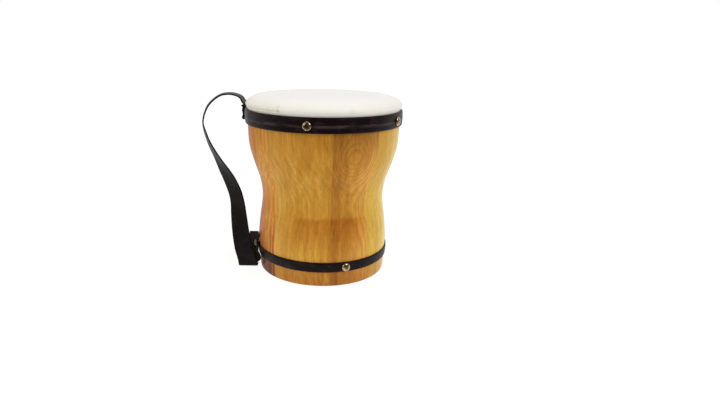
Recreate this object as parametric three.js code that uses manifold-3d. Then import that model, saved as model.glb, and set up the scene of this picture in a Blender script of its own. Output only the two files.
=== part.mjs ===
// A single hand drum with a waisted stave shell, a tacked skin head and a leather carrying strap.
// Lengths are in millimetres and +Z is up. Angles run from the side that faces the viewer (-Y)
// towards +X, so a place on the drum is (r sin a, -r cos a, z).
import * as THREE from 'three';
import { mergeVertices } from 'three/addons/utils/BufferGeometryUtils.js';
import Module from 'manifold-3d';

const wasm = await Module();
wasm.setup();

// Clearances and cutting
const fitGap = 0.3;
const glueLine = 0.3;
const overrun = 2;
const weldTolerance = 0.0001;

// Shell, turned from eight glued staves of unequal width
const rimHeight = 151;
const baseRadius = 65.2;
const bellyRadius = 66.8;
const waistRadius = 62.2;
const rimRadius = 76;
const baseChamfer = 1.5;
const baseWall = 11.7;
const waistWall = 11.7;
const seamAngles = [7, 42, 96, 138, 184, 228, 264, 315];
// Wall points: the level as a share of the rim's height, the named radius that the point starts
// from (base, belly, waist, rim), and the share of the way to the next one
const wallShares = [
  [0, 0, 0],
  [0.113, 0, 0.62],
  [0.225, 1, 0],
  [0.358, 1, 0.41],
  [0.503, 2, 0],
  [0.623, 2, 0.15],
  [0.742, 2, 0.58],
  [0.861, 2, 0.91],
  [1, 3, 0],
];
const waistShare = 0.503;

// Rounded shoulder above the rim
const skirtHeight = 17;
const shoulderOverhang = 0.4;
const shoulderInset = 14.9;
const shoulderRise = 9.7;
const crestLip = 1.5;

// Skin head
const skinThickness = 0.8;

// Leather bands
const topBandLap = 0.6;
const topBandDrop = 0.4;
const topBandThickness = 2.3;
const topBandJointAngle = 139;
const lowBandHeight = 10;
const lowBandBottom = 15.2;
const lowBandThickness = 1.2;
const lowBandJointAngle = 196;

// Domed brass tacks
const domeRadius = 4.2;
const domeHeight = 2.4;
const domeRim = 0.5;
const domeShankRadius = 1;
const domeShankLength = 12;
const domePointLength = 3;
const domeTopDrop = 0.5;
const domeTopFirstAngle = -10.6;
const domeTopSpacing = 72;
const domeTopCount = 4;
const domeLowFirstAngle = 20;
const domeLowSpacing = 85;
const domeLowCount = 3;

// Flat tacks that hold the skin, hidden under the top band
const flatHeadRadius = 3.4;
const flatHeadThickness = 0.5;
const flatShankRadius = 0.8;
const flatShankLength = 9;
const flatPointLength = 2;
const flatCount = 20;

// Leather carrying strap: its doubled top end, the free loop, the foot that folds on the ground
// and the flap that bends flush to the lower band
const strapWidth = 18.8;
const strapThickness = 1.5;
const strapTopAngle = -100;
const strapTopBend = 6.8;
const strapTopTackLift = 1.9;
const topFoldLift = 0.8;
const topFoldGap = 0.7;
const topEndLift = 0.8;
const topFlare = 1.6;
const loopReach = 41;
const loopRise = 1.5;
const loopTurn = -90;
const footFront = 19;
const footTurnRadius = 2;
const footDrift = 1.4;
const footClearance = 2.5;
const flapAngle = -76;
const flapCorner = 2;
const flapTackLift = 1.4;
const flapRise = 11.3;
// How far the flare bulges out at the fold, and where the flap has leaned back to the wall
const foldBulgeShare = 0.5;
const flapLeanShare = 0.7;
// Rows of the free loop: reach beyond the seats, height, way to the foot's front, and turn
const loopShares = [
  [0.086, 0.94, -0.009, 1.04],
  [0.149, 0.962, -0.03, 1],
  [0.277, 0.976, -0.06, 0.975],
  [0.468, 0.981, -0.116, 0.945],
  [0.673, 0.973, -0.131, 0.92],
  [0.872, 0.944, -0.101, 0.895],
  [1.022, 0.904, -0.039, 0.876],
  [1.122, 0.826, 0.083, 0.863],
  [1.068, 0.771, 0.175, 0.797],
  [1.002, 0.732, 0.251, 0.775],
  [0.893, 0.685, 0.358, 0.722],
  [0.743, 0.632, 0.48, 0.666],
  [0.547, 0.563, 0.618, 0.532],
  [0.425, 0.516, 0.71, 0.461],
  [0.326, 0.469, 0.786, 0.421],
  [0.261, 0.43, 0.847, 0.405],
  [0.213, 0.382, 0.908, 0.367],
  [0.185, 0.311, 0.969, 0.268],
  [0.148, 0.218, 1.015, 0.152],
  [0.087, 0.117, 1.031, 0.04],
  [0.025, 0.056, 1.012, 0.01],
];
// Steps of the flap's rise from the foot to its seat: height, way to the seat, and bend
const riseShares = [
  [0.21, 0.24, 0.62],
  [0.5, 1.11, 0.91],
  [0.72, 1.24, 1],
];
// How much of the flap's bend each stretch across the strap has
const bendShares = [0, 0.33, 0.67, 1];

// Facets
const ringSides = 48;
const domeSides = 12;
const domeRings = 3;
const flatSides = 8;
const wallSamples = 24;
const shoulderSamples = 5;
const strapSteps = 2;

const degree = Math.PI / 180;
const fullTurn = 360;
const ringStep = (2 * Math.PI) / ringSides;

function material(color, roughness, metalness) {
  return new THREE.MeshStandardMaterial({ color, roughness, metalness });
}

const looks = {
  wood: material(0xb98338, 0.35, 0),
  skin: material(0xeee8dc, 0.6, 0),
  leather: material(0x241c1d, 0.55, 0),
  brass: material(0xb08d4a, 0.3, 1),
  steel: material(0x8c8c8c, 0.4, 1),
};

// Turns a geometry into one whose shared corners are merged and that holds positions only.
function positionsOnly(geometry) {
  const bare = new THREE.BufferGeometry();
  bare.setAttribute('position', geometry.getAttribute('position'));
  bare.setIndex(geometry.getIndex());
  return mergeVertices(bare, weldTolerance);
}

function solidOf(geometry) {
  const merged = positionsOnly(geometry);
  const mesh = new wasm.Mesh({
    numProp: 3,
    vertProperties: merged.getAttribute('position').array,
    triVerts: new Uint32Array(merged.getIndex().array),
  });
  return new wasm.Manifold(mesh);
}

function geometryOf(solid) {
  const mesh = solid.getMesh();
  const geometry = new THREE.BufferGeometry();
  geometry.setAttribute('position', new THREE.BufferAttribute(mesh.vertProperties, 3));
  geometry.setIndex(new THREE.BufferAttribute(mesh.triVerts, 1));
  geometry.computeVertexNormals();
  return geometry;
}

function cutAll(geometry, cutters) {
  let solid = solidOf(geometry);
  for (const cutter of cutters) {
    solid = solid.subtract(solidOf(cutter));
  }
  return geometryOf(solid);
}

// A solid swept about Z between two angles from a closed outline of (radius, height) points,
// listed with the inside on the left.
function sectorOf(outline, fromAngle, toAngle) {
  const steps = Math.ceil((toAngle - fromAngle) / ringStep);
  const count = outline.length;
  const positions = [];
  const index = [];
  for (let i = 0; i <= steps; i++) {
    const angle = fromAngle + ((toAngle - fromAngle) * i) / steps;
    for (const point of outline) {
      positions.push(point.x * Math.sin(angle), -point.x * Math.cos(angle), point.y);
    }
  }
  for (let i = 0; i < steps; i++) {
    for (let j = 0; j < count; j++) {
      const next = (j + 1) % count;
      const a = i * count + j;
      const b = i * count + next;
      index.push(a, b + count, b, a, a + count, b + count);
    }
  }
  const last = steps * count;
  for (const [a, b, c] of THREE.ShapeUtils.triangulateShape(outline, [])) {
    index.push(a, b, c, last + a, last + c, last + b);
  }
  const geometry = new THREE.BufferGeometry();
  geometry.setAttribute('position', new THREE.Float32BufferAttribute(positions, 3));
  geometry.setIndex(index);
  return geometry;
}

// A full turning about Z from a profile that starts and ends on the axis.
function turningOf(profile, sides) {
  return new THREE.LatheGeometry(profile, sides).rotateX(Math.PI / 2);
}

function at(radius, height) {
  return new THREE.Vector2(radius, height);
}

// The shell's outer wall below the top band
const wallRadii = [baseRadius, bellyRadius, waistRadius, rimRadius, rimRadius];
const wallCurve = new THREE.SplineCurve(wallShares.map(([up, stage, way]) => {
  const radius = THREE.MathUtils.lerp(wallRadii[stage], wallRadii[stage + 1], way);
  return at(radius, up * rimHeight);
}));
const wallPoints = wallCurve.getPoints(wallSamples);

function wallRadiusAt(level) {
  for (let i = 1; i < wallPoints.length; i++) {
    const low = wallPoints[i - 1];
    const high = wallPoints[i];
    if (level <= high.y) {
      return THREE.MathUtils.mapLinear(level, low.y, high.y, low.x, high.x);
    }
  }
  return rimRadius;
}

// Sizes that follow from the shell
const boreBaseRadius = baseRadius - baseWall;
const boreWaistRadius = waistRadius - waistWall;
const waistHeight = waistShare * rimHeight;
const shoulderRadius = rimRadius + shoulderOverhang;
const shoulderHeight = rimHeight + skirtHeight;
const crestRadius = shoulderRadius - shoulderInset;
const crestHeight = shoulderHeight + shoulderRise;
const boreTopRadius = crestRadius - crestLip;
const rebateDepth = fitGap + skinThickness;
const rebateRadius = rimRadius - rebateDepth;
const rebateStep = rebateDepth / 2;
const skinInnerRadius = rebateRadius + fitGap;
const skinOuterRadius = skinInnerRadius + skinThickness;
const skirtTop = shoulderHeight - 2 * (shoulderRadius - rebateRadius);
const skirtBottom = rimHeight + rebateStep + fitGap;
const topBandBottom = rimHeight - topBandLap;
const topBandTop = skirtTop - topBandDrop;
const topBandMiddle = (topBandBottom + topBandTop) / 2;
const topBandInner = rimRadius + fitGap;
const topBandOuter = topBandInner + topBandThickness;
const lowBandTop = lowBandBottom + lowBandHeight;
const lowBandMiddle = (lowBandBottom + lowBandTop) / 2;
const lowBandWall = Math.max(wallRadiusAt(lowBandBottom), wallRadiusAt(lowBandTop));
const lowBandOuter = lowBandWall + fitGap + lowBandThickness;

// The shoulder's quarter ellipse, grown outwards, from its outermost point up to its crest
function shoulderPoints(growth) {
  const points = [];
  for (let i = 0; i <= shoulderSamples; i++) {
    const turn = (i / shoulderSamples) * (Math.PI / 2);
    const out = (shoulderRadius - crestRadius + growth) * Math.cos(turn);
    const up = (shoulderRise + growth) * Math.sin(turn);
    points.push(at(crestRadius + out, shoulderHeight + up));
  }
  return points;
}

function shellOutline() {
  return [
    at(boreBaseRadius + baseChamfer, 0),
    at(baseRadius - baseChamfer, 0),
    at(baseRadius, baseChamfer),
    ...wallPoints.slice(1),
    at(rebateRadius, rimHeight + rebateStep),
    at(rebateRadius, skirtTop),
    ...shoulderPoints(0),
    at(boreTopRadius, crestHeight - crestLip),
    at(boreWaistRadius, waistHeight),
    at(boreBaseRadius, baseChamfer),
  ];
}

function headProfile() {
  const under = fitGap;
  const over = fitGap + skinThickness;
  return [
    at(0, crestHeight + under),
    ...shoulderPoints(under).reverse(),
    at(skinInnerRadius, skirtTop),
    at(skinInnerRadius, skirtBottom),
    at(skinOuterRadius, skirtBottom),
    at(skinOuterRadius, skirtTop),
    ...shoulderPoints(over),
    at(0, crestHeight + over),
  ];
}

function topBandOutline() {
  return [
    at(topBandInner, topBandBottom),
    at(topBandOuter, topBandBottom),
    at(topBandOuter, topBandTop),
    at(topBandInner, topBandTop),
  ];
}

function lowBandOutline() {
  const levels = [lowBandBottom, lowBandMiddle, lowBandTop];
  const inner = levels.map((level) => at(wallRadiusAt(level) + fitGap, level));
  const outer = inner.map((point) => at(point.x + lowBandThickness, point.y));
  return [...outer, ...inner.reverse()];
}

// A ring of leather that is open by one glue line at its joint.
function bandOf(outline, jointAngle, radius) {
  const gapAngle = glueLine / radius;
  const from = jointAngle * degree + gapAngle;
  return sectorOf(outline, from, from + 2 * Math.PI - 2 * gapAngle);
}

// A tack along +Z with its head's underside at height zero and its shank pointing down.
function domeTackGeometry() {
  const profile = [
    at(0, -domeShankLength),
    at(domeShankRadius, domePointLength - domeShankLength),
    at(domeShankRadius, 0),
    at(domeRadius, 0),
  ];
  for (let i = 0; i < domeRings; i++) {
    const turn = (i / domeRings) * (Math.PI / 2);
    const height = domeRim + (domeHeight - domeRim) * Math.sin(turn);
    profile.push(at(domeRadius * Math.cos(turn), height));
  }
  profile.push(at(0, domeHeight));
  return turningOf(profile, domeSides);
}

function flatTackGeometry() {
  return turningOf([
    at(0, -flatShankLength),
    at(flatShankRadius, flatPointLength - flatShankLength),
    at(flatShankRadius, 0),
    at(flatHeadRadius, 0),
    at(flatHeadRadius, flatHeadThickness),
    at(0, flatHeadThickness),
  ], flatSides);
}

// A place on the drum at an angle round it, and the direction that runs round the drum there
function place(angleDegrees, radius, level) {
  const angle = angleDegrees * degree;
  return new THREE.Vector3(radius * Math.sin(angle), -radius * Math.cos(angle), level);
}

function roundwards(angleDegrees) {
  const angle = angleDegrees * degree;
  return new THREE.Vector3(Math.cos(angle), Math.sin(angle), 0);
}

// Turns a piece made along +Z to point outwards at an angle round the drum.
function placed(geometry, angleDegrees, radius, level) {
  const seat = place(angleDegrees, radius, level);
  return geometry
    .rotateX(Math.PI / 2)
    .rotateZ(angleDegrees * degree)
    .translate(seat.x, seat.y, seat.z);
}

// A hole with a flat facing each way along X and Y, so no corner lies on a line through its middle
function holeGeometry(radius, top, bottom) {
  const profile = [at(0, bottom), at(radius, bottom), at(radius, top), at(0, top)];
  return turningOf(profile, flatSides).rotateZ(Math.PI / flatSides);
}

// Radii of the strap's middle layer at its seats, and of the tack heads on it
const halfThickness = strapThickness / 2;
const strapTopInner = topBandOuter + fitGap + halfThickness;
const strapTopOuter = strapTopInner + strapThickness + topFoldGap;
const flapSeatRadius = lowBandOuter + fitGap + halfThickness;
const topSeat = topBandOuter + fitGap;
const lowSeat = lowBandOuter + fitGap;
const strapTopSeat = strapTopOuter + halfThickness + fitGap;
const flapTackSeat = flapSeatRadius + halfThickness + fitGap;
const strapTackLevel = topBandMiddle + strapTopTackLift;
const flapTackLevel = lowBandTop + flapTackLift;

const domeTacks = [];
for (let i = 0; i < domeTopCount; i++) {
  const angle = domeTopFirstAngle + domeTopSpacing * i;
  const level = topBandMiddle - domeTopDrop;
  domeTacks.push({ name: `top_band_tack_${i + 1}`, angle, radius: topSeat, level });
}
for (let i = 0; i < domeLowCount; i++) {
  const angle = domeLowFirstAngle + domeLowSpacing * i;
  domeTacks.push({
    name: `bottom_band_tack_${i + 1}`, angle, radius: lowSeat, level: lowBandMiddle,
  });
}
domeTacks.push({
  name: 'strap_top_tack', angle: strapTopAngle, radius: strapTopSeat, level: strapTackLevel,
});
domeTacks.push({
  name: 'strap_bottom_tack', angle: flapAngle, radius: flapTackSeat, level: flapTackLevel,
});

const flatTacks = [];
for (let i = 0; i < flatCount; i++) {
  const angle = domeTopFirstAngle + (fullTurn / flatCount) * (i + 1 / 2);
  const name = `skin_tack_${String(i + 1).padStart(2, '0')}`;
  flatTacks.push({ name, angle, radius: skinOuterRadius + fitGap, level: topBandMiddle });
}

// A clearance hole for a tack's shank
function shankHole(tack, shankRadius, shankLength) {
  const hole = holeGeometry(shankRadius + fitGap, overrun, -shankLength - fitGap);
  return placed(hole, tack.angle, tack.radius, tack.level);
}

const domeHoles = domeTacks.map((tack) => shankHole(tack, domeShankRadius, domeShankLength));
const flatHoles = flatTacks.map((tack) => shankHole(tack, flatShankRadius, flatShankLength));

// Pockets in the top band's back that take the flat heads
const flatPockets = flatTacks.map((tack) => {
  const pocket = holeGeometry(flatHeadRadius + fitGap, flatHeadThickness + fitGap, -overrun);
  return placed(pocket, tack.angle, tack.radius, tack.level);
});

// The strap's rows: a point on its middle line, the heading of its far half in degrees, and how
// much further its near half bends
function topEndRows() {
  // The strap bends round the band, so its middle stands a little further out than its halves.
  const halfBend = strapTopBend / 2;
  const row = (radius, level) => ({
    point: place(strapTopAngle, radius / Math.cos(halfBend * degree), level),
    turn: strapTopAngle - halfBend,
    bend: strapTopBend,
  });
  const foldRadius = (strapTopOuter - strapTopInner) / 2;
  const foldMiddle = (strapTopOuter + strapTopInner) / 2;
  const foldLevel = rimHeight + topFoldLift;
  const bulge = topFlare * foldBulgeShare;
  const endLevel = topBandTop + topEndLift;
  const headTop = strapTackLevel + domeRadius;
  const headBottom = strapTackLevel - domeRadius;
  return [
    row(strapTopOuter + topFlare, endLevel),
    row(strapTopOuter, headTop),
    row(strapTopOuter, headBottom),
    row(strapTopOuter + bulge, foldLevel + foldRadius),
    row(foldMiddle + bulge / 2, foldLevel),
    row(strapTopInner, foldLevel + foldRadius + bulge),
    row(strapTopInner, headBottom),
    row(strapTopInner, endLevel),
  ];
}

const footReach = Math.max(baseRadius + footClearance, lowBandOuter) + strapWidth / 2;

function loopRows() {
  const top = place(strapTopAngle, strapTopInner, 0);
  const crest = crestHeight + loopRise;
  return loopShares.map(([out, up, forward, turn]) => ({
    point: new THREE.Vector3(
      THREE.MathUtils.lerp(-footReach, top.x, up) - out * loopReach,
      THREE.MathUtils.lerp(top.y, -footFront, forward),
      up * crest),
    turn: turn * loopTurn,
    bend: 0,
  }));
}

// The fold on the ground, in quarter and half turns
function footRows() {
  const level = fitGap + halfThickness;
  const cornerShare = 1 - Math.SQRT1_2;
  const corner = footTurnRadius * cornerShare;
  const back = 2 * footTurnRadius;
  return [
    [0, 0, footTurnRadius],
    [footDrift * cornerShare, corner, corner],
    [footDrift / 2, footTurnRadius, 0],
    [footDrift - footDrift * cornerShare, back - corner, corner],
    [footDrift, back, footTurnRadius],
  ].map(([aside, behind, up]) => ({
    point: new THREE.Vector3(aside - footReach, behind - footFront, level + up),
    turn: 0,
    bend: 0,
  }));
}

// The flap's corner stands a quarter of the strap's width behind its tack.
function flapRow(radius, level) {
  const point = place(flapAngle, radius, level);
  point.addScaledVector(roundwards(flapAngle), -strapWidth / 4);
  return { point, turn: 0, bend: flapAngle };
}

function flapRows(footEnd) {
  const seat = flapRow(flapSeatRadius, lowBandBottom);
  const rise = riseShares.map(([up, way, bend]) => {
    const point = footEnd.point.clone().lerp(seat.point, way);
    point.z = THREE.MathUtils.lerp(footEnd.point.z, seat.point.z, up);
    return { point, turn: 0, bend: bend * flapAngle };
  });
  const endLevel = lowBandTop + flapRise;
  const headTop = flapTackLevel + domeRadius + fitGap;
  const leanLevel = THREE.MathUtils.lerp(headTop, endLevel, flapLeanShare);
  const leanWall = Math.max(wallRadiusAt(leanLevel), wallRadiusAt(endLevel));
  const wallSeat = leanWall + fitGap + halfThickness;
  return [
    ...rise,
    seat,
    flapRow(flapSeatRadius, flapTackLevel),
    flapRow(flapSeatRadius, headTop),
    flapRow(wallSeat, leanLevel),
    flapRow(wallSeat, endLevel),
  ];
}

// Places across the strap at one row, in order from its far edge to its near edge, as pairs of
// corners on its two faces. The strap lies level across its width.
function strapSection(centre, tangent, turn, bend) {
  const widths = [strapWidth / 2 - flapCorner, flapCorner / 2, flapCorner / 2, strapWidth / 2];
  const steps = bendShares.map((bendShare, i) => {
    const step = roundwards(turn + bend * bendShare);
    const slant = new THREE.Vector3().crossVectors(tangent, step);
    return { along: step.multiplyScalar(widths[i] / slant.length()), normal: slant.normalize() };
  });
  const start = centre.clone();
  steps.slice(0, -1).forEach((step) => start.sub(step.along));
  const back = [];
  const front = [];
  for (let i = 0; i <= steps.length; i++) {
    const before = steps[Math.max(i - 1, 0)];
    const after = steps[Math.min(i, steps.length - 1)];
    const normal = before.normal.clone().add(after.normal).normalize();
    back.push(start.clone().addScaledVector(normal, -halfThickness));
    front.push(start.clone().addScaledVector(normal, halfThickness));
    if (i < steps.length) {
      start.add(steps[i].along);
    }
  }
  return [...back, ...front.reverse()];
}

function strapGeometry() {
  const foot = footRows();
  const rows = [...topEndRows(), ...loopRows(), ...foot, ...flapRows(foot[foot.length - 1])];
  const path = new THREE.CatmullRomCurve3(rows.map((row) => row.point), false, 'centripetal');
  const headings = new THREE.SplineCurve(rows.map((row) => at(row.turn, row.bend)));
  const stations = (rows.length - 1) * strapSteps;
  const positions = [];
  for (let i = 0; i <= stations; i++) {
    const t = i / stations;
    const heading = headings.getPoint(t);
    const section = strapSection(path.getPoint(t), path.getTangent(t), heading.x, heading.y);
    section.forEach((corner) => positions.push(corner.x, corner.y, corner.z));
  }
  const count = 2 * (bendShares.length + 1);
  const index = [];
  for (let i = 0; i < stations; i++) {
    for (let j = 0; j < count; j++) {
      const a = i * count + j;
      const b = i * count + ((j + 1) % count);
      index.push(a, b, b + count, a, b + count, a + count);
    }
  }
  const last = stations * count;
  for (let a = 0; a < bendShares.length; a++) {
    const b = a + 1;
    const c = count - 1 - b;
    const d = count - 1 - a;
    index.push(a, d, c, a, c, b);
    index.push(last + a, last + b, last + c, last + a, last + c, last + d);
  }
  const geometry = new THREE.BufferGeometry();
  geometry.setAttribute('position', new THREE.Float32BufferAttribute(positions, 3));
  geometry.setIndex(index);
  return geometry;
}

const drum = new THREE.Group();

function add(name, geometry, look) {
  const mesh = new THREE.Mesh(geometry, look);
  mesh.name = name;
  drum.add(mesh);
}

// Staves, each with the pilot holes that fall in it
const halfGlueAngle = glueLine / 2 / waistRadius;
seamAngles.forEach((seam, i) => {
  const next = i + 1 < seamAngles.length ? seamAngles[i + 1] : seamAngles[0] + fullTurn;
  const from = seam * degree + halfGlueAngle;
  const stave = sectorOf(shellOutline(), from, next * degree - halfGlueAngle);
  const isHere = (tack) =>
    THREE.MathUtils.euclideanModulo(tack.angle - seam, fullTurn) < next - seam;
  const holes = [
    ...domeHoles.filter((_, k) => isHere(domeTacks[k])),
    ...flatHoles.filter((_, k) => isHere(flatTacks[k])),
  ];
  add(`stave_${i + 1}`, cutAll(stave, holes), looks.wood);
});

const topDomeHoles = domeHoles.filter((_, k) => domeTacks[k].level > waistHeight);
const lowDomeHoles = domeHoles.filter((_, k) => domeTacks[k].level < waistHeight);

const head = turningOf(headProfile(), ringSides);
add('head', cutAll(head, [...topDomeHoles, ...flatHoles]), looks.skin);

const topBand = bandOf(topBandOutline(), topBandJointAngle, topBandOuter);
add('top_band', cutAll(topBand, [...topDomeHoles, ...flatPockets]), looks.leather);
const lowBand = bandOf(lowBandOutline(), lowBandJointAngle, lowBandOuter);
add('bottom_band', cutAll(lowBand, lowDomeHoles), looks.leather);

for (const tack of domeTacks) {
  add(tack.name, placed(domeTackGeometry(), tack.angle, tack.radius, tack.level), looks.brass);
}
for (const tack of flatTacks) {
  add(tack.name, placed(flatTackGeometry(), tack.angle, tack.radius, tack.level), looks.steel);
}

const strapHoles = domeHoles.filter((_, k) => domeTacks[k].name.startsWith('strap'));
add('strap', cutAll(strapGeometry(), strapHoles), looks.leather);

// The origin is the middle of the whole object's footprint.
const bounds = new THREE.Box3().setFromObject(drum);
const middle = bounds.getCenter(new THREE.Vector3());
drum.position.set(-middle.x, -middle.y, -bounds.min.z);

export default drum;
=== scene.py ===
"""The looks of a waisted hand drum: lacquered staves, a hide head, studded leather and a strap.

Lengths are in millimetres and become metres where a mesh or the camera is made. The lights and the
floor are in metres. Angles run from the side that faces the camera (-Y) towards +X.
"""
import math

import bpy
import numpy as np
from mathutils import Matrix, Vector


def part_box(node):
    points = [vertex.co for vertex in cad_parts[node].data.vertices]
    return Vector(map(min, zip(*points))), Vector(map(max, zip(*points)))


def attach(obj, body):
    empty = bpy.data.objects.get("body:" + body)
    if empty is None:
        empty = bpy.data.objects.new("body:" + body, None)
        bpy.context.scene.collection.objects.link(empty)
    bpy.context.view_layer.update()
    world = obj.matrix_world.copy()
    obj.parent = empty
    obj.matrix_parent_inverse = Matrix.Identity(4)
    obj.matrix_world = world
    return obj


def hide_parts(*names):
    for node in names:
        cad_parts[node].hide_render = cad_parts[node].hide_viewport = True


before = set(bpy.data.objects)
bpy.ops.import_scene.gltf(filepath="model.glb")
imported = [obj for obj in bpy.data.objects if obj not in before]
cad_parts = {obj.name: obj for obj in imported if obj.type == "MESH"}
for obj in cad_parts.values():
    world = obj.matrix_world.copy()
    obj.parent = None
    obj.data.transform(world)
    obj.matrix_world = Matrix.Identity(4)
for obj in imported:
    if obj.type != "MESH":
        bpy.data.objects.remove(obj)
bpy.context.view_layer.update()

MM = 0.001
head_low, head_high = (np.array(corner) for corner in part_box("head"))
AXIS = (head_low + head_high) / 2
AXIS[2] = 0.0

# Sizes that follow the CAD model. The wall and the bore are given as (level, radius)
FIT_GAP = 0.3
GLUE_LINE = 0.03
WALL = [(0, 65.2), (17, 66.2), (34, 66.8), (54, 64.9), (76, 62.2), (94, 64.3), (112, 70.2),
        (130, 74.8), (151, 76.0)]
WAIST_RADIUS = min(radius for level, radius in WALL)
BORE = [(177.5, 60.0), (120, 55.5), (76, 50.5), (40, 51.5), (1.5, 53.5)]
BORE_FOOT_RADIUS = 55.0
BASE_CHAMFER = 1.2
REBATE_RADIUS, REBATE = 74.9, (151.5, 165)
SHOULDER_CENTRE, SHOULDER_REACH = (61.5, 168), (14.9, 9.7)
SEAMS = [7, 42, 96, 138, 184, 228, 264, 315]
HEAD_FOOT, SKIN_UNDER, SKIN_TOP = 151.9, 178.02, 178.8
TOP_BAND = (150.4, 164.6)
TOP_BAND_RADII = (76.3, 78.6)
TOP_BAND_JOINT = 139
LOW_BAND = (15.2, 25.2)
LOW_BAND_THICKNESS = 1.2
LOW_BAND_JOINT = 196
DOME_RADIUS = 4.2
DOME_HEIGHT = 2.4
TOP_TACK_ANGLES = [-10.6 + 72 * i for i in range(4)]
LOW_TACK_ANGLES = [20 + 85 * i for i in range(3)]
STRAP_WIDTH = 18.8
STRAP_THICKNESS = 1.5
TOP_ANGLE, TOP_BEND, FLAP_ANGLE, LOOP_TURN = -100, 6.8, -76, -90


# Curves and meshes

def catmull(points, steps, power=0.0):
    """Points on a Catmull-Rom curve through the given ones. Power 0 is uniform, 0.5 centripetal."""
    p = np.array(points, float)
    p = np.vstack([2 * p[0] - p[1], p, 2 * p[-1] - p[-2]])
    out = []
    for i in range(1, len(p) - 2):
        a, b, c, d = p[i - 1:i + 3]
        k1, k2, k3 = (max(np.linalg.norm(v), 1e-9) ** power for v in (b - a, c - b, d - c))
        m1 = k2 * ((b - a) / k1 - (c - a) / (k1 + k2) + (c - b) / k2)
        m2 = k2 * ((c - b) / k2 - (d - b) / (k2 + k3) + (d - c) / k3)
        last = i == len(p) - 3
        for t in np.linspace(0, 1, steps + 1)[:None if last else -1]:
            out.append((2 * t**3 - 3 * t**2 + 1) * b + (t**3 - 2 * t**2 + t) * m1
                       + (3 * t**2 - 2 * t**3) * c + (t**3 - t**2) * m2)
    return np.array(out)


def wall_radius(level):
    curve = catmull(WALL, 12)
    return np.interp(level, curve[:, 0], curve[:, 1])


def on_drum(angle, radius, level):
    """Places round the drum, in millimetres from its axis."""
    a = np.radians(angle)
    return np.stack(np.broadcast_arrays(radius * np.sin(a), -radius * np.cos(a), level), -1)


def smooth(t):
    t = np.clip(t, 0, 1)
    return t * t * (3 - 2 * t)


def add_mesh(name, vertices, faces, material, sharp_angle=40):
    mesh = bpy.data.meshes.new(name)
    mesh.from_pydata([tuple(v) for v in np.asarray(vertices) * MM + AXIS], [], faces)
    mesh.polygons.foreach_set("use_smooth", [True] * len(mesh.polygons))
    mesh.set_sharp_from_angle(angle=math.radians(sharp_angle))
    mesh.materials.append(material)
    piece = bpy.data.objects.new(name, mesh)
    bpy.context.scene.collection.objects.link(piece)
    return piece


def grid_faces(rows, columns, close_rows=False, close_columns=True):
    """Quads over a grid of points, whose columns run round each row."""
    faces = []
    for i in range(rows if close_rows else rows - 1):
        for j in range(columns if close_columns else columns - 1):
            a, b = i * columns + j, i * columns + (j + 1) % columns
            c, d = (i + 1) % rows * columns + (j + 1) % columns, (i + 1) % rows * columns + j
            faces.append((a, d, c, b))
    return faces


def capped_faces(rows, columns):
    """Quads over a grid of points, and one face over its first row and one over its last."""
    last = (rows - 1) * columns
    ends = [tuple(range(columns)), tuple(last + j for j in reversed(range(columns)))]
    return grid_faces(rows, columns) + ends


def stand_for(piece, node):
    """The piece takes the place of the CAD node, which is hidden, and joins the root body. Its
    finish is the material in its mesh's slot.
    """
    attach(piece, "root")
    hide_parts(node)


# Materials

def srgb(*values):
    return [((v / 255 + 0.055) / 1.055) ** 2.4 if v > 10 else v / 255 / 12.92 for v in values] + [1]


class Nodes:
    """Short ways to add nodes to a tree and to join them."""

    def __init__(self, tree):
        self.tree = tree

    def node(self, kind, inputs=None, **settings):
        made = self.tree.nodes.new(kind)
        for key, value in settings.items():
            setattr(made, key, value)
        for key, value in (inputs or {}).items():
            self.feed(made.inputs[key], value)
        return made

    def feed(self, socket, value):
        if isinstance(value, bpy.types.NodeSocket):
            self.tree.links.new(value, socket)
        else:
            socket.default_value = value

    def maths(self, operation, a, b=0.0, clamp=False):
        made = self.node("ShaderNodeMath", {0: a, 1: b}, operation=operation, use_clamp=clamp)
        return made.outputs[0]

    def plus(self, a, b):
        return self.maths("ADD", a, b)

    def minus(self, a, b):
        return self.maths("SUBTRACT", a, b)

    def times(self, a, b):
        return self.maths("MULTIPLY", a, b)

    def length(self, a, b):
        return self.maths("SQRT", self.plus(self.times(a, a), self.times(b, b)))

    def between(self, value, start, end, low=0.0, high=1.0, soft=False):
        """Low where the value is at start, high where it is at end, and level beyond them."""
        made = self.node("ShaderNodeMapRange", {
            "Value": value, "From Min": start, "From Max": end, "To Min": low, "To Max": high,
        }, interpolation_type="SMOOTHSTEP" if soft else "LINEAR")
        return made.outputs[0]

    def blend(self, share, a, b):
        """A number that goes from a to b with the share."""
        return self.node("ShaderNodeMix", {0: share, 2: a, 3: b}, data_type="FLOAT").outputs[0]


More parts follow.
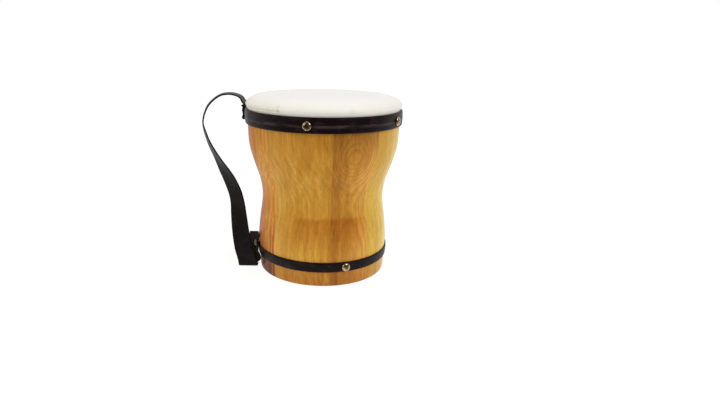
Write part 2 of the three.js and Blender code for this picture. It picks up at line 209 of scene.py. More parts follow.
class Look(Nodes):
    """A material, and short ways to add the nodes that one is made of."""

    def __init__(self, name, **sockets):
        self.material = bpy.data.materials.new(name)
        self.material.use_nodes = True
        super().__init__(self.material.node_tree)
        self.shader = self.tree.nodes["Principled BSDF"]
        for key, value in sockets.items():
            self.shader.inputs[key.replace("_", " ")].default_value = value

    def place(self, angle=0.0):
        """Millimetres from the drum's axis, with X turned to run round the drum at an angle."""
        coordinates = self.node("ShaderNodeTexCoord").outputs["Object"]
        made = self.node("ShaderNodeMapping", {
            "Vector": coordinates, "Location": tuple(AXIS),
            "Rotation": (0, 0, math.radians(angle)), "Scale": (MM, MM, MM),
        }, vector_type="TEXTURE")
        return made.outputs[0]

    def parts(self, vector):
        return self.node("ShaderNodeSeparateXYZ", {0: vector}).outputs

    def distance(self, vector, point):
        made = self.node("ShaderNodeVectorMath", {0: vector, 1: tuple(point)}, operation="DISTANCE")
        return made.outputs["Value"]

    def stretched(self, vector, scale):
        made = self.node("ShaderNodeVectorMath", {0: vector, 1: scale}, operation="MULTIPLY")
        return made.outputs[0]

    def noise(self, vector, scale, detail=3.0, roughness=0.55, distortion=0.0):
        """Noise from 0 to 1, whose scale is in waves per millimetre along each axis."""
        made = self.node("ShaderNodeTexNoise", {
            "Vector": self.stretched(vector, scale), "Scale": 1.0, "Detail": detail,
            "Roughness": roughness, "Distortion": distortion,
        })
        return made.outputs[0]

    def wobble(self, noise, size):
        """The noise about its middle, as a length."""
        return self.times(self.minus(noise, 0.5), size)

    def ramp(self, value, stops):
        """Colours, or numbers, at shares of the value."""
        made = self.node("ShaderNodeValToRGB", {"Fac": value})
        elements = made.color_ramp.elements
        while len(elements) < len(stops):
            elements.new(0.5)
        for element, (position, colour) in zip(elements, stops):
            element.position = position
            element.color = colour if isinstance(colour, list) else [colour] * 3 + [1]
        return made.outputs[0]

    def mix(self, share, a, b, blend="MIX"):
        made = self.node("ShaderNodeMix", data_type="RGBA", blend_type=blend)
        for index, value in ((0, share), (6, a), (7, b)):
            self.feed(made.inputs[index], value)
        return made.outputs[2]

    def bump(self, height, distance, strength):
        made = self.node("ShaderNodeBump", {
            "Height": height, "Distance": distance, "Strength": strength})
        self.feed(self.shader.inputs["Normal"], made.outputs[0])

    def colour(self, socket):
        self.feed(self.shader.inputs["Base Color"], socket)


# Wood. The painted shade along the wall and below the waist sits at shares of the tone height
TONE_HEIGHT = 150
RING_SPACING = 3.0
BURL_WIDTH, BURL_HEIGHT = 19.0, 16.0
LATEWOOD = [(0.0, 0.55), (0.12, 0.0), (0.5, 0.12), (0.9, 1.0), (1.0, 0.55)]
TOP_SHADE = (232, 220, 208)


def burl(look, x, z, swirl):
    """A swelling of the rings at (across, level), as high as the third number."""
    across, level, height = swirl
    aside = look.times(look.minus(x, across), 1 / BURL_WIDTH)
    rise = look.times(look.minus(z, level), 1 / BURL_HEIGHT)
    away = look.plus(look.times(aside, aside), look.times(rise, rise))
    return look.times(look.maths("EXPONENT", look.times(away, -1.0)), height)


def latewood_lines(look, place, warp, pith, seed, swirl):
    """The pith is (across, outwards) from the drum's axis, so the turned wall cuts its growth
    rings into straight grain at the edges and arches in the middle."""
    x, y, z = look.parts(place)
    ring = look.length(look.minus(x, pith[0]), look.minus(look.times(y, -1.0), pith[1]))
    ring = look.plus(ring, look.times(warp, 4.0 if swirl else 7.0))
    ring = look.plus(ring, look.times(z, 0.012 + 0.003 * seed))
    if swirl:
        ring = look.minus(ring, burl(look, x, z, swirl))
    fine_warp = look.noise(place, (0.35, 0.35, 0.05))
    rings = look.times(look.plus(ring, look.times(fine_warp, 1.5)), 1 / RING_SPACING)
    return look.ramp(look.maths("FRACT", rings), LATEWOOD)


def flamed(look, colour, place, z, strength):
    """Red tongues along the grain, strongest low down."""
    tongues = look.noise(place, (0.42, 0.42, 0.011), detail=2.5, roughness=0.6)
    tongues = look.ramp(tongues, [(0.46, 0), (0.62, 1)])
    lower = look.between(z, 90.0, 30.0, 0.45, 1.0)
    return look.mix(look.times(tongues, look.times(lower, strength)), colour, srgb(200, 84, 26))


def painted_wall_shade(look, colour, z, top):
    """Painted shade: the wall is darker at its upper end, in a band above the lower band and under
    it.
    """
    painted_light = look.ramp(look.times(z, 1 / TONE_HEIGHT), [
        (0.0, srgb(232, 214, 208)), (0.13, srgb(234, 216, 208)), (0.19, srgb(255, 254, 250)),
        (0.30, srgb(250, 244, 238)), (0.36, srgb(246, 240, 232)), (0.46, srgb(254, 252, 246)),
        (0.62, srgb(255, 255, 255)), (0.78, srgb(246, 240, 232)), (1.0, srgb(*top))])
    return look.mix(1.0, colour, painted_light, blend="MULTIPLY")


def shaded_belly(look, colour, x, z, warp, sides):
    """Painted shade round the lower waist, with a firm upper edge. It comes in from
    the first of its two sides to the second."""
    edge = look.times(look.plus(z, look.wobble(warp, 9.0)), 1 / TONE_HEIGHT)
    deep = look.ramp(edge, [(0.25, 0), (0.36, 0.62), (0.435, 0.85), (0.46, 0)])
    deep = look.times(deep, look.between(x, *sides, soft=True))
    shade_colour = look.mix(1.0, colour, srgb(230, 202, 158), blend="MULTIPLY")
    return look.mix(deep, colour, shade_colour)


def shaded_foot(look, colour, x, z, streaks):
    """Darker towards the foot and darkest under the lower band, where the strap shades it."""
    aside = look.between(x, 4.0, 50.0, 1.0, 0.0, soft=True)
    uneven = look.ramp(streaks, [(0.40, 1), (0.66, 0.62)])
    for low, high, strength, deep in ((20.0, 60.0, 0.9, (150, 68, 30)),
                                      (12.0, 21.0, 0.96, (84, 34, 16))):
        foot = look.between(z, low, high, strength, 0.0, soft=True)
        share = look.times(look.times(foot, aside), uneven)
        colour = look.mix(share, colour, srgb(*deep))
    return colour


def wood_look(name, angle, tones, pith, seed, figure, slope, flame=0.0, swirl=None, top=TOP_SHADE,
              belly_shade=None, gloss=1.0):
    """Lacquered wood of one stave, in light, middle and dark tones."""
    look = Look(name, Roughness=0.42 + 0.2 * (1 - gloss), Coat_Weight=0.24 * gloss,
                Coat_Roughness=0.18, Specular_IOR_Level=0.13 * gloss,
                Specular_Tint=(1.0, 0.82, 0.5, 1.0))
    place = look.place(angle)
    x, _, z = look.parts(place)
    warp = look.noise(place, (0.05, 0.05, 0.016), detail=2.0)
    latewood = latewood_lines(look, place, warp, pith, seed, swirl)
    streaks = look.noise(place, (0.2, 0.2, 0.007), detail=3.5, roughness=0.62)
    fibres = look.noise(place, (1.5, 1.5, 0.03), roughness=0.65)
    pores = look.noise(place, (2.3, 2.3, 0.16), detail=1.0, roughness=0.5)
    clouds = look.noise(place, (0.045, 0.045, 0.03), detail=2.0)

    tone = look.times(streaks, 0.8)
    for part, weight in ((fibres, 0.4), (clouds, 0.5)):
        tone = look.plus(tone, look.times(part, weight))
    sum_middle, contrast = 0.85, 1.5
    tone = look.times(look.minus(tone, sum_middle), contrast)
    tone = look.maths("ADD", tone, look.plus(look.times(x, slope), 0.5), clamp=True)
    light, middle, dark = tones
    colour = look.ramp(tone, [(0.08, dark), (0.5, middle), (0.92, light)])
    shade = look.times(latewood, look.times(clouds, figure))
    colour = look.mix(shade, colour, srgb(132, 74, 16))
    if flame:
        colour = flamed(look, colour, place, z, flame)
    pore_mask = look.ramp(pores, [(0.30, 1), (0.37, 0)])
    colour = look.mix(look.times(pore_mask, 0.42), colour, srgb(100, 54, 10))
    # Painted shade: darker at the wall's upper end, near the foot and in a band above the lower band
    colour = painted_wall_shade(look, colour, z, top)
    # Painted shade below the waist, with a firm upper edge
    if belly_shade:
        colour = shaded_belly(look, colour, x, z, warp, belly_shade)
    if flame:
        colour = shaded_foot(look, colour, x, z, streaks)
    look.colour(colour)
    look.bump(look.plus(fibres, look.times(latewood, -0.15)), 0.04 * MM, 0.3)
    return look.material


# Leather, hide and metal

# Where the strap's flap gets its painted highlight
HIGHLIGHT_LEVELS = (34.0, 46.0)
HIGHLIGHT_DEPTHS = (-18.4, -16.8)
CREASE_LEVEL = 168.4
CREASE_SIDES = (-38.0, -46.0)
SPOTS = [
    # place, size, strength
    ((-40.4, -66.0, 168.2), 2.4, 0.5),
    ((-40.0, -64.5, 171.5), 3.2, 0.15),
    ((-49.5, -59.0, 168.5), 5.0, 0.12),
    ((24.5, -73.5, 168.4), 5.0, 0.1),
]


def leather_look(name, colour, sheen_colour, roughness, grain=0.9, sheen_level=None, flap_highlight=None):
    """Black grained leather, with greyer patches of painted sheen. A level may be given for a
    painted sheen along the leather, and a colour for a painted highlight low on its flap."""
    look = Look(name, Roughness=roughness, Specular_IOR_Level=0.11)
    place = look.place()
    _, y, z = look.parts(place)
    cells = look.node("ShaderNodeTexVoronoi", {
        "Vector": look.stretched(place, (grain, grain, grain)), "Scale": 1.0,
    }, feature="DISTANCE_TO_EDGE").outputs[0]
    wrinkles = look.noise(place, (0.22, 0.22, 0.22), detail=4.0, roughness=0.6, distortion=0.6)
    # Greyer patches of painted sheen
    sheen_noise = look.noise(place, (0.09, 0.09, 0.14), roughness=0.6)
    painted_light = look.ramp(sheen_noise, [(0.48, 0), (0.74, 1)])
    # Painted sheen along the leather at one level, in patches
    if sheen_level:
        patches = look.noise(place, (0.06, 0.06, 0.5), roughness=0.6)
        away = look.maths("ABSOLUTE", look.minus(z, sheen_level))
        near = look.between(away, 0.2, 2.2, 1.0, 0.0, soft=True)
        lit = look.times(look.ramp(patches, [(0.42, 0), (0.58, 1)]), near)
        painted_light = look.maths("MAXIMUM", look.times(painted_light, 0.35), lit)
    colour = look.mix(painted_light, colour, sheen_colour)
    if flap_highlight:
        # Painted highlight: paler low down on the flap, behind the strap's front run
        low = look.between(z, *HIGHLIGHT_LEVELS, 1.0, 0.0)
        near = look.between(y, *HIGHLIGHT_DEPTHS)
        colour = look.mix(look.times(low, near), colour, flap_highlight)
    look.colour(colour)
    look.bump(look.plus(look.maths("MINIMUM", cells, 0.28), wrinkles), 0.25 * MM, 0.5)
    return look.material


def hide_look():
    """Bare rawhide: white where it is stretched flat, creamier as it turns down over the rim."""
    look = Look("hide", Roughness=0.55)
    place = look.place()
    x, y, z = look.parts(place)
    blotches = look.noise(place, (0.035, 0.035, 0.05), detail=4.0, roughness=0.6, distortion=0.4)
    edge = look.plus(look.length(x, y), look.wobble(blotches, 26))
    white, cream, amber = srgb(243, 241, 237), srgb(242, 239, 231), srgb(240, 235, 222)
    reach = look.between(edge, 56.0, 82.0)
    colour = look.ramp(reach, [(0.0, white), (0.62, cream), (1.0, amber)])
    veins = look.noise(place, (0.25, 0.05, 0.1), detail=5.0, roughness=0.7, distortion=1.2)
    colour = look.mix(look.ramp(veins, [(0.60, 0), (0.85, 0.35)]), colour, srgb(222, 208, 178))
    # Painted shade along a crease that follows the rim on the left, and the brown marks near it
    crease = look.noise(place, (0.02, 0.02, 0.6), detail=2.0, distortion=0.3)
    level = look.plus(z, look.wobble(crease, 3.0))
    away = look.maths("ABSOLUTE", look.minus(level, CREASE_LEVEL))
    line = look.between(away, 0.2, 1.2, 0.34, 0.0, soft=True)
    left = look.between(x, *CREASE_SIDES)
    colour = look.mix(look.times(line, left), colour, srgb(206, 178, 128))
    for spot, size, strength in SPOTS:
        ragged = look.plus(look.distance(place, spot), look.wobble(veins, size))
        near = look.between(ragged, size * 0.2, size, strength, 0.0, soft=True)
        colour = look.mix(near, colour, srgb(176, 140, 84))
    look.colour(colour)
    fine = look.noise(place, (0.8, 0.8, 0.8), detail=4.0, roughness=0.6)
    look.bump(look.plus(fine, look.times(veins, 1.2)), 0.12 * MM, 0.35)
    return look.material


def brass_look(name, dull, bright, crown):
    """Brass that has tarnished in patches, with a painted dark reflection round the crown of the
    dome.
    """
    look = Look(name, Metallic=1.0)
    place = look.place()
    tarnish = look.noise(place, (0.4, 0.4, 0.4), detail=4.0, roughness=0.65)
    # Painted dark reflection round the crown of each dome
    dark_reflection = look.between(look.distance(place, crown), 1.0, 2.8, 0.85, 0.0, soft=True)
    colour = look.ramp(tarnish, [(0.35, dull), (0.65, bright)])
    look.colour(look.mix(dark_reflection, colour, srgb(86, 58, 24)))
    look.feed(look.shader.inputs["Roughness"], look.ramp(tarnish, [(0.3, 0.20), (0.7, 0.09)]))
    look.bump(look.noise(place, (2.2, 2.2, 2.2), detail=2.0), 0.06 * MM, 0.3)
    return look.material


def steel_look():
    look = Look("steel", Metallic=1.0, Roughness=0.4)
    wear = look.noise(look.place(), (0.5, 0.5, 0.5))
    look.colour(look.ramp(wear, [(0.3, srgb(120, 120, 122)), (0.7, srgb(180, 180, 182))]))
    return look.material


HIDE = hide_look()
BRASS = (srgb(130, 102, 62), srgb(212, 194, 160))
DULL_BRASS = (srgb(78, 68, 56), srgb(122, 110, 92))
STEEL = steel_look()
BAND_LEATHER = leather_look("band_leather", srgb(20, 8, 8), srgb(66, 50, 56), 0.4, sheen_level=156.5)
# The strap's last colour is a painted highlight low on its flap
STRAP_LEATHER = leather_look("strap_leather", srgb(16, 8, 8), srgb(32, 24, 24), 0.45, grain=1.1,
                             flap_highlight=srgb(74, 60, 54))


# Shell

WOODS = [
    # (light, middle, dark), pith (across, outwards), figure, slope of the tone across
    ((srgb(235, 175, 78), srgb(208, 148, 56), srgb(174, 113, 36)), (-1.0, 104.0), 0.5, 0.015),
    ((srgb(255, 236, 150), srgb(243, 207, 93), srgb(217, 171, 62)), (26.0, 10.0), 0.2, 0.018),
    ((srgb(236, 188, 84), srgb(217, 164, 62), srgb(188, 132, 42)), (-20.0, 120.0), 0.5, 0.0),
    ((srgb(222, 164, 58), srgb(200, 140, 40), srgb(170, 112, 24)), (12.0, 20.0), 0.4, 0.01),
    ((srgb(228, 176, 64), srgb(208, 154, 46), srgb(180, 124, 28)), (-8.0, 125.0), 0.55, 0.0),
    ((srgb(218, 160, 58), srgb(196, 136, 40), srgb(168, 110, 24)), (30.0, 15.0), 0.4, -0.008),
    ((srgb(234, 176, 74), srgb(210, 138, 42), srgb(174, 96, 24)), (24.0, 5.0), 0.3, 0.014),
    ((srgb(234, 181, 82), srgb(213, 156, 58), srgb(182, 126, 37)), (-34.0, 8.0), 0.32, -0.005),
]
# What sets single staves apart, as wood_look takes it
MARKS = {
    # Stave 1 has a deeper painted shade at its upper end; staves 1 and 8 have painted shade below
    # the waist
    1: {"swirl": (-2.5, 125.0, 10.0), "top": (196, 184, 184), "belly_shade": (22.0, 4.0)},
    7: {"flame": 0.9, "gloss": 0.7},
    8: {"belly_shade": (-14.0, 2.0)},
}


def quarter_turn(steps):
    return np.linspace(0, math.pi / 2, steps)


def shell_outline():
    """The wall from the foot up, over the shoulder and down the bore, as (radius, level) points."""
    corner = [(WALL[0][1] - BASE_CHAMFER * (1 - math.sin(a)), BASE_CHAMFER * (1 - math.cos(a)))
              for a in quarter_turn(5)]
    wall = [(radius, level) for level, radius in catmull(WALL, 10) if level > BASE_CHAMFER]
    rebate = [(REBATE_RADIUS, level) for level in REBATE]
    shoulder = [(SHOULDER_CENTRE[0] + SHOULDER_REACH[0] * math.cos(a),
                 SHOULDER_CENTRE[1] + SHOULDER_REACH[1] * math.sin(a)) for a in quarter_turn(12)]
    bore = [(radius, level) for level, radius in catmull(BORE, 5)]
    return np.array(corner + wall + rebate + shoulder + bore + [(BORE_FOOT_RADIUS, 0)])


def make_staves():
    outline = shell_outline()
    glue_edge = math.degrees(GLUE_LINE / 2 / WAIST_RADIUS)
    ends = SEAMS[1:] + [SEAMS[0] + 360]
    for number, (seam, following, wood) in enumerate(zip(SEAMS, ends, WOODS), start=1):
        start, end = seam + glue_edge, following - glue_edge
        tones, pith, figure, slope = wood
        material = wood_look(f"wood_{number}", (start + end) / 2, tones, pith, number, figure,
                             slope, **MARKS.get(number, {}))
        angles = np.linspace(start, end, int(math.ceil(end - start)) + 1)
        rings = [on_drum(a, outline[:, 0], outline[:, 1]) for a in angles]
        faces = capped_faces(len(angles), len(outline))
        stave = add_mesh(f"stave_{number}_fine", np.vstack(rings), faces, material)
        stand_for(stave, f"stave_{number}")


make_staves()


# Head

def head_outline():
    """The skin's outer face from its skirt to the crown, and its inner face from there back."""
    over = [(76.0, HEAD_FOOT), (76.0, 158), (76.0, 164.2), (76.7, 166.4), (77.5, 168.6),
            (77.4, 170.4), (76.2, 172.4), (73.0, 174.9), (67.8, 177.0), (61.0, 178.4),
            (53, SKIN_TOP), (30, SKIN_TOP)]
    under = [(60, SKIN_UNDER), (66, 177.2), (71.5, 175.1), (75.2, 172.2), (76.6, 169.5),
             (76.6, 168.4), (75.2, 165), (75.2, HEAD_FOOT)]
    return catmull(over, 6), catmull(under, 4)


def make_head():
    over, under = head_outline()
    angles = np.arange(0, 360, 1.5)
    outline = np.vstack([over, under])
    columns = len(outline)
    vertices = list(np.vstack([on_drum(a, outline[:, 0], outline[:, 1]) for a in angles]))
    # The crown is left open between its two faces, and each face is closed by a fan
    outer_end, inner_end = len(over) - 1, len(over)
    faces = [f for f in grid_faces(len(angles), columns, close_rows=True)
             if {f[0] % columns, f[-1] % columns} != {outer_end, inner_end}]
    for level, column, flip in ((SKIN_TOP, outer_end, False), (SKIN_UNDER, inner_end, True)):
        middle = len(vertices)
        vertices.append(np.array([0.0, 0.0, level]))
        for i in range(len(angles)):
            a, b = i * columns + column, (i + 1) % len(angles) * columns + column
            faces.append((middle, b, a) if flip else (middle, a, b))
    stand_for(add_mesh("head_fine", vertices, faces, HIDE), "head")


make_head()


# Leather bands

BAND_ROUND = 0.45
BAND_RIPPLE = 0.10


def band_outline(inner, outer, bottom, top, bulge):
    """A strip of leather with rounded edges whose face bulges a little between them."""
    face = []
    for share in np.linspace(0, 1, 19):
        level = bottom + share * (top - bottom)
        edge = min(level - bottom, top - level)
        inside = max(0.0, BAND_ROUND - edge)
        fall = BAND_ROUND - math.sqrt(max(0.0, BAND_ROUND**2 - inside**2))
        face.append((outer(level) - fall - bulge * (2 * share - 1) ** 2, level))
    back = [(inner(level), level) for level in np.linspace(top, bottom, 5)]
    return np.array(face + back)


def make_band(name, node, outline, joint):
    """The outline turned about the drum's axis from the joint round to it again, with a ripple."""
    angles = np.arange(joint + 0.15, joint + 360 - 0.1, 1.0)
    rng = np.random.default_rng(len(name))
    phases = rng.uniform(0, 6.28, 6)
    rings = []
    for a in angles:
        ripple = sum(math.sin(math.radians(a) * k + phases[k - 2]) / k for k in range(2, 8))
        points = on_drum(a, outline[:, 0], outline[:, 1])
        points[:, 2] += BAND_RIPPLE * ripple
        rings.append(points)
    faces = capped_faces(len(angles), len(outline))
    stand_for(add_mesh(name, np.vstack(rings), faces, BAND_LEATHER), node)


make_band("top_band_fine", "top_band",
          band_outline(lambda z: TOP_BAND_RADII[0], lambda z: TOP_BAND_RADII[1], *TOP_BAND, 0.45),
          TOP_BAND_JOINT)
make_band("bottom_band_fine", "bottom_band",
          band_outline(lambda z: wall_radius(z) + FIT_GAP,
                       lambda z: wall_radius(z) + FIT_GAP + LOW_BAND_THICKNESS, *LOW_BAND, 0.25),
          LOW_BAND_JOINT)


# Domed tacks, whose profile is (radius, height above the underside of the head)

SHANK = [(0, -12), (0.5, -10.5), (1, -9), (1, 0.25)]
DOME_LIP = 0.2
DOME_SIDES = 40


def tack_seat(node, angle, level):
    """Where the underside of a CAD tack's head meets the tack's own axis."""
    outwards = on_drum(angle, 1.0, 0.0)
    points = np.array([v.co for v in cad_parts[node].data.vertices])
    along = ((points - AXIS) / MM) @ outwards
    return on_drum(angle, along.max() - DOME_HEIGHT, level)


def dome_profile():
    lip = [(DOME_RADIUS - 0.5, 0.0), (DOME_RADIUS - 0.1, 0.03), (DOME_RADIUS, 0.18)]
    dome = [(DOME_RADIUS * math.cos(a), DOME_LIP + (DOME_HEIGHT - DOME_LIP) * math.sin(a) ** 0.9)
            for a in quarter_turn(12)[1:]]
    return SHANK + lip + dome


def make_dome(node, angle, brass=BRASS):
    """A domed head on its shank, seated where the CAD tack sits."""
    low, high = (np.array(corner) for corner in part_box(node))
    outwards, across = on_drum(angle, 1.0, 0.0), on_drum(angle + 90, 1.0, 0.0)
    up = np.array([0, 0, 1.0])
    foot = tack_seat(node, angle, (low[2] + high[2]) / 2 / MM)
    profile = dome_profile()
    vertices = []
    for turn in np.arange(DOME_SIDES) * 2 * math.pi / DOME_SIDES:
        aside = math.cos(turn) * across + math.sin(turn) * up
        vertices += [foot + outwards * height + radius * aside for radius, height in profile]
    faces = grid_faces(DOME_SIDES, len(profile), close_rows=True, close_columns=False)
    material = brass_look(node + "_brass", *brass, foot + outwards * DOME_HEIGHT)
    stand_for(add_mesh(node + "_fine", vertices, faces, material), node)


for number, angle in enumerate(TOP_TACK_ANGLES, start=1):
    make_dome(f"top_band_tack_{number}", angle)
for number, angle in enumerate(LOW_TACK_ANGLES, start=1):
    make_dome(f"bottom_band_tack_{number}", angle)
make_dome("strap_top_tack", TOP_ANGLE, DULL_BRASS)
make_dome("strap_bottom_tack", FLAP_ANGLE, DULL_BRASS)

# The skin's tacks are hidden, so they keep their CAD meshes
for name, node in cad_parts.items():
    if name.startswith("skin_tack"):
        node.data.materials.clear()
        node.data.materials.append(STEEL)


# Strap. The flap's rise and the loop are rows of shares of the sizes above them

TOP_TACK, TOP_FOLD, TOP_END, TOP_FLARE, TOP_FOLD_GAP = 159.4, 151.8, 165.4, 1.6, 0.7
HALF = STRAP_THICKNESS / 2
TOP_INNER = TOP_BAND_RADII[1] + FIT_GAP + HALF
TOP_OUTER = TOP_INNER + STRAP_THICKNESS + TOP_FOLD_GAP
LOW_OUTER = float(wall_radius(LOW_BAND[1])) + FIT_GAP + LOW_BAND_THICKNESS
FLAP_RADIUS = LOW_OUTER + FIT_GAP + HALF
FOOT_REACH = LOW_OUTER + STRAP_WIDTH / 2
FOOT_FRONT, FOOT_TURN, FOOT_DRIFT = 19.0, 2.0, 1.4
LOOP_REACH, CREST = 41.0, 179.2
FLAP_CORNER, FLAP_TACK, FLAP_END, FLAP_LEAN_SHARE = 2.0, 26.6, 36.5, 0.7
FLAP_RISE = [
    # up and along the way from the foot to the lower band, bend of the near half
    (0.21, 0.24, 0.62), (0.5, 1.11, 0.91), (0.72, 1.24, 1.0),
]
LOOP = [
    # out from the foot's reach, up to the crest, forward to the foot, turn of the heading
    (0.086, 0.94, -0.009, 1.04), (0.149, 0.962, -0.03, 1), (0.277, 0.976, -0.06, 0.975),
    (0.468, 0.981, -0.116, 0.945), (0.673, 0.973, -0.131, 0.92), (0.872, 0.944, -0.101, 0.895),
    (1.022, 0.904, -0.039, 0.876), (1.122, 0.826, 0.083, 0.863), (1.068, 0.771, 0.175, 0.797),
    (1.002, 0.732, 0.251, 0.775), (0.893, 0.685, 0.358, 0.722), (0.743, 0.632, 0.48, 0.666),
    (0.547, 0.563, 0.618, 0.532), (0.425, 0.516, 0.71, 0.461), (0.326, 0.469, 0.786, 0.421),
    (0.261, 0.43, 0.847, 0.405), (0.213, 0.382, 0.908, 0.367), (0.185, 0.311, 0.969, 0.268),
    (0.148, 0.218, 1.015, 0.152), (0.087, 0.117, 1.031, 0.04), (0.025, 0.056, 1.012, 0.01),
]
STRAP_ROUND = 0.5


def top_rows():
    """The doubled end on the top band: down its outer layer, round the fold and up the inner."""
    fold, bulge = (TOP_OUTER - TOP_INNER) / 2, TOP_FLARE * 0.5
    rows = []
    for radius, level in ((TOP_OUTER + TOP_FLARE, TOP_END), (TOP_OUTER, TOP_TACK + DOME_RADIUS),
                          (TOP_OUTER, TOP_TACK - DOME_RADIUS), (TOP_OUTER + bulge, TOP_FOLD + fold),
                          ((TOP_OUTER + TOP_INNER + bulge) / 2, TOP_FOLD),
                          (TOP_INNER, TOP_FOLD + fold + bulge), (TOP_INNER, TOP_TACK - DOME_RADIUS),
                          (TOP_INNER, TOP_END)):
        radius /= math.cos(math.radians(TOP_BEND / 2))
        rows.append((*on_drum(TOP_ANGLE, radius, level), TOP_ANGLE - TOP_BEND / 2, TOP_BEND))
    return rows


def loop_rows():
    top = on_drum(TOP_ANGLE, TOP_INNER, 0.0)
    return [(-FOOT_REACH + (top[0] + FOOT_REACH) * up - out * LOOP_REACH,
             top[1] + (-FOOT_FRONT - top[1]) * forward, up * CREST, turn * LOOP_TURN, 0.0)
            for out, up, forward, turn in LOOP]


def foot_rows():
    """Half a turn on the table, to the back."""
    level, quarter = FIT_GAP + HALF, 1 - math.sqrt(0.5)
    near = FOOT_TURN * quarter
    return [(aside * FOOT_DRIFT - FOOT_REACH, behind - FOOT_FRONT, level + up, 0.0, 0.0)
            for aside, behind, up in ((0, 0, FOOT_TURN), (quarter, near, near), (0.5, FOOT_TURN, 0),
                                      (1 - quarter, 2 * FOOT_TURN - near, near),
                                      (1, 2 * FOOT_TURN, FOOT_TURN))]


def flap_rows(start):
    """From the foot's end up to the lower band, over it and on to the wall above it."""
    aside = on_drum(FLAP_ANGLE + 90, 1.0, 0.0)

    def flap(radius, level):
        return on_drum(FLAP_ANGLE, radius, level) - aside * STRAP_WIDTH / 4

    seat = flap(FLAP_RADIUS, LOW_BAND[0])
    rows = []
    for up, way, bend in FLAP_RISE:
        point = start + (seat - start) * way
        rows.append((*point[:2], start[2] + (seat[2] - start[2]) * up, 0.0, bend * FLAP_ANGLE))
    head_top = FLAP_TACK + DOME_RADIUS + FIT_GAP
    lean = head_top + (FLAP_END - head_top) * FLAP_LEAN_SHARE
    wall_seat = float(max(wall_radius(lean), wall_radius(FLAP_END))) + FIT_GAP + HALF
    for radius, level in ((FLAP_RADIUS, LOW_BAND[0]), (FLAP_RADIUS, FLAP_TACK),
                          (FLAP_RADIUS, head_top), (wall_seat, lean), (wall_seat, FLAP_END)):
        rows.append((*flap(radius, level), 0.0, FLAP_ANGLE))
    return rows


def strap_section(point, tangent, turn, bend, places, depth):
    """The strap's edge loop across its middle line, whose near half bends away from the far half."""
    heading = np.radians(turn + bend * smooth((places + FLAP_CORNER) / FLAP_CORNER))
    along = np.stack([np.cos(heading), np.sin(heading), np.zeros_like(heading)], -1)
    slant = np.cross(tangent, along)
    size = np.linalg.norm(slant, axis=1)[:, None]
    step, normal = along / size, slant / size
    middle = (step[1:] + step[:-1]) / 2 * np.diff(places)[:, None]
    line = np.vstack([np.zeros(3), np.cumsum(middle, axis=0)])
    line += point - np.array([np.interp(0, places, line[:, k]) for k in range(3)])
    front, back = line + normal * depth[:, None], line - normal * depth[:, None]
    return np.vstack([back, front[-2:0:-1]])


def strap_ends(rows, columns, count):
    """Quads across the first and the last section, which have this count of places on a side."""
    faces = []
    last = (rows - 1) * columns
    for a in range(count - 1):
        c, d = columns - a - 1, (columns - a) % columns
        quad = [a, a + 1, c, d] if a < count - 2 else [a, a + 1, d]
        quad = list(dict.fromkeys(quad))
        faces.append(tuple(reversed(quad)))
        faces.append(tuple(last + q for q in quad))
    return faces


def make_strap():
    """Rows are (x, y, z, heading of the far half, bend of the near half)."""
    rows = top_rows() + loop_rows() + foot_rows()
    rows = np.array(rows + flap_rows(np.array(rows[-1][:3])))
    path = catmull(rows[:, :3], 8, power=0.5)
    headings = catmull(rows[:, 3:], 8)
    tangents = np.gradient(path, axis=0)
    tangents /= np.linalg.norm(tangents, axis=1)[:, None]
    flat = STRAP_WIDTH / 2 - STRAP_ROUND
    rim = STRAP_ROUND * np.sin(quarter_turn(5)[1:])
    places = np.concatenate([-flat - rim[::-1], np.linspace(-flat, flat, 29), flat + rim])
    beyond = np.clip((np.abs(places) - flat) / STRAP_ROUND, 0, 1)
    depth = HALF * np.sqrt(1 - beyond**2)
    sections = [strap_section(point, tangent, turn, bend, places, depth)
                for point, tangent, (turn, bend) in zip(path, tangents, headings)]
    columns = len(sections[0])
    faces = [tuple(reversed(face)) for face in grid_faces(len(sections), columns)]
    faces += strap_ends(len(sections), columns, len(places))
    stand_for(add_mesh("strap_fine", np.vstack(sections), faces, STRAP_LEATHER, sharp_angle=60),
              "strap")


make_strap()


# Stage, light and camera

FLOOR_SIZE, FLOOR_LEVEL = 6.0, -0.0004
TABLE_EDGE = (-170.0, -105.0)
SHADOW_REACH = (150.0, 900.0)
WHITE = (1, 1, 1, 1)
LIGHT_TARGET = (0.02, 0, 0.1)
LIGHTS = [
    # name, place and size in metres, power in watts
    ("key", (0.9, -0.9, 1.1), 0.8, 8.6),
    ("fill", (-1.1, -0.7, 0.7), 0.9, 3.7),
    ("top", (0.0, 0.2, 1.3), 1.0, 3.4),
]
CAMERA_PLACE = (0, -537.116, 223.338)
CAMERA_PITCH, CAMERA_YAW, CAMERA_ROLL = 16.094, -0.055, 0.804
SENSOR_WIDTH = 36.0
PHOTO_WIDTH, FOCAL_PIXELS, CENTRE_PIXEL = 720, 531.63, 322


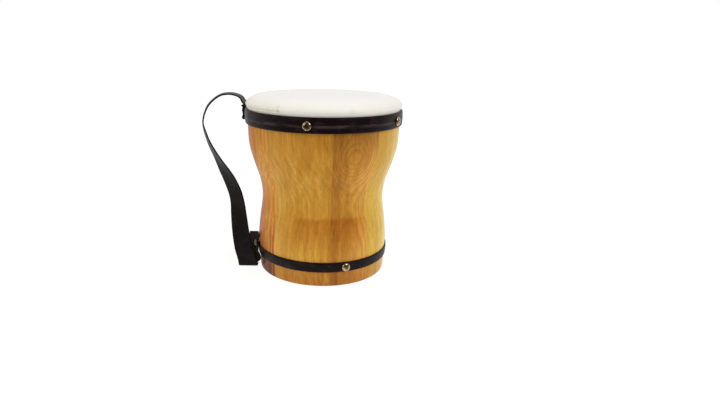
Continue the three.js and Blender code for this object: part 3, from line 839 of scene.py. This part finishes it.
def make_floor():
    look = Look("floor")
    look.tree.nodes.remove(look.shader)
    diffuse = look.node("ShaderNodeBsdfDiffuse", {"Color": (0.92, 0.92, 0.92, 1)})
    rays = look.node("ShaderNodeLightPath")
    seen = look.maths("MAXIMUM", rays.outputs["Is Camera Ray"], rays.outputs["Is Glossy Ray"])
    x, y, _ = look.parts(look.place())
    # The white table ends in front of the drum, so the tacks mirror the dark room beyond it
    beyond = look.between(y, *TABLE_EDGE, 0.88, 0.0, soft=True)
    dark = look.times(rays.outputs["Is Glossy Ray"], beyond)
    level = look.times(look.minus(1.0, dark), 1.06)
    white = look.node("ShaderNodeEmission", {"Color": WHITE, "Strength": level})
    plain = look.between(look.length(x, y), *SHADOW_REACH, 0.86, 1.0)
    mix = look.node("ShaderNodeMixShader", {
        0: look.times(seen, plain), 1: diffuse.outputs[0], 2: white.outputs[0]})
    look.feed(look.tree.nodes["Material Output"].inputs["Surface"], mix.outputs[0])
    corners = [(-1, -1), (1, -1), (1, 1), (-1, 1)]
    mesh = bpy.data.meshes.new("floor")
    mesh.from_pydata([(FLOOR_SIZE * x, FLOOR_SIZE * y, FLOOR_LEVEL) for x, y in corners], [],
                     [(0, 1, 2, 3)])
    mesh.materials.append(look.material)
    floor = bpy.data.objects.new("floor", mesh)
    bpy.context.scene.collection.objects.link(floor)


def make_world():
    """White to the eye. It lights less, and its mirror images dim towards the camera's side."""
    world = bpy.data.worlds.new("studio")
    world.use_nodes = True
    bpy.context.scene.world = world
    nodes = Nodes(world.node_tree)
    rays = nodes.node("ShaderNodeLightPath").outputs
    direction = nodes.node("ShaderNodeTexCoord").outputs["Generated"]
    towards = nodes.node("ShaderNodeVectorMath", {0: direction, 1: (0.0, -0.93, 0.36)},
                         operation="DOT_PRODUCT").outputs["Value"]
    mirrored = nodes.between(towards, -0.5, 0.6, 1.0, 0.08, soft=True)
    level = nodes.blend(rays["Is Glossy Ray"], 0.52, mirrored)
    background = world.node_tree.nodes["Background"]
    nodes.feed(background.inputs["Color"], WHITE)
    nodes.feed(background.inputs["Strength"], nodes.blend(rays["Is Camera Ray"], level, 1.0))


def turned(right, up, forward):
    """The matrix of a light or a camera that looks forward."""
    return Matrix([list(v) for v in np.stack([right, up, -forward], 1)])


def add_light(name, place, size, power):
    data = bpy.data.lights.new(name, "AREA")
    data.size = size
    data.energy = power
    light = bpy.data.objects.new(name, data)
    light.location = place
    forward = np.array(LIGHT_TARGET) - np.array(place)
    forward /= np.linalg.norm(forward)
    side = np.cross(forward, [0, 0, 1.0])
    side /= np.linalg.norm(side)
    light.rotation_euler = turned(side, np.cross(side, forward), forward).to_euler()
    bpy.context.scene.collection.objects.link(light)


def make_camera():
    """The photograph's own camera: its distance, height, pitch, yaw, roll and framing."""
    pitch, yaw, roll = (math.radians(a) for a in (CAMERA_PITCH, CAMERA_YAW, CAMERA_ROLL))
    forward = np.array([math.sin(yaw) * math.cos(pitch), math.cos(yaw) * math.cos(pitch),
                        -math.sin(pitch)])
    side = np.array([math.cos(yaw), -math.sin(yaw), 0.0])
    up = np.cross(side, forward)
    right = math.cos(roll) * side + math.sin(roll) * up
    above = math.cos(roll) * up - math.sin(roll) * side
    data = bpy.data.cameras.new("camera")
    data.sensor_width = SENSOR_WIDTH
    data.lens = FOCAL_PIXELS / PHOTO_WIDTH * SENSOR_WIDTH
    data.shift_x = (PHOTO_WIDTH / 2 - CENTRE_PIXEL) / PHOTO_WIDTH
    data.clip_start = 0.02
    camera = bpy.data.objects.new("camera", data)
    matrix = turned(right, above, forward).to_4x4()
    matrix.translation = AXIS + np.array(CAMERA_PLACE) * MM
    camera.matrix_world = matrix
    bpy.context.scene.collection.objects.link(camera)
    bpy.context.scene.camera = camera


make_floor()
make_world()
for row in LIGHTS:
    add_light(*row)
make_camera()
bpy.context.scene.view_settings.view_transform = "Standard"
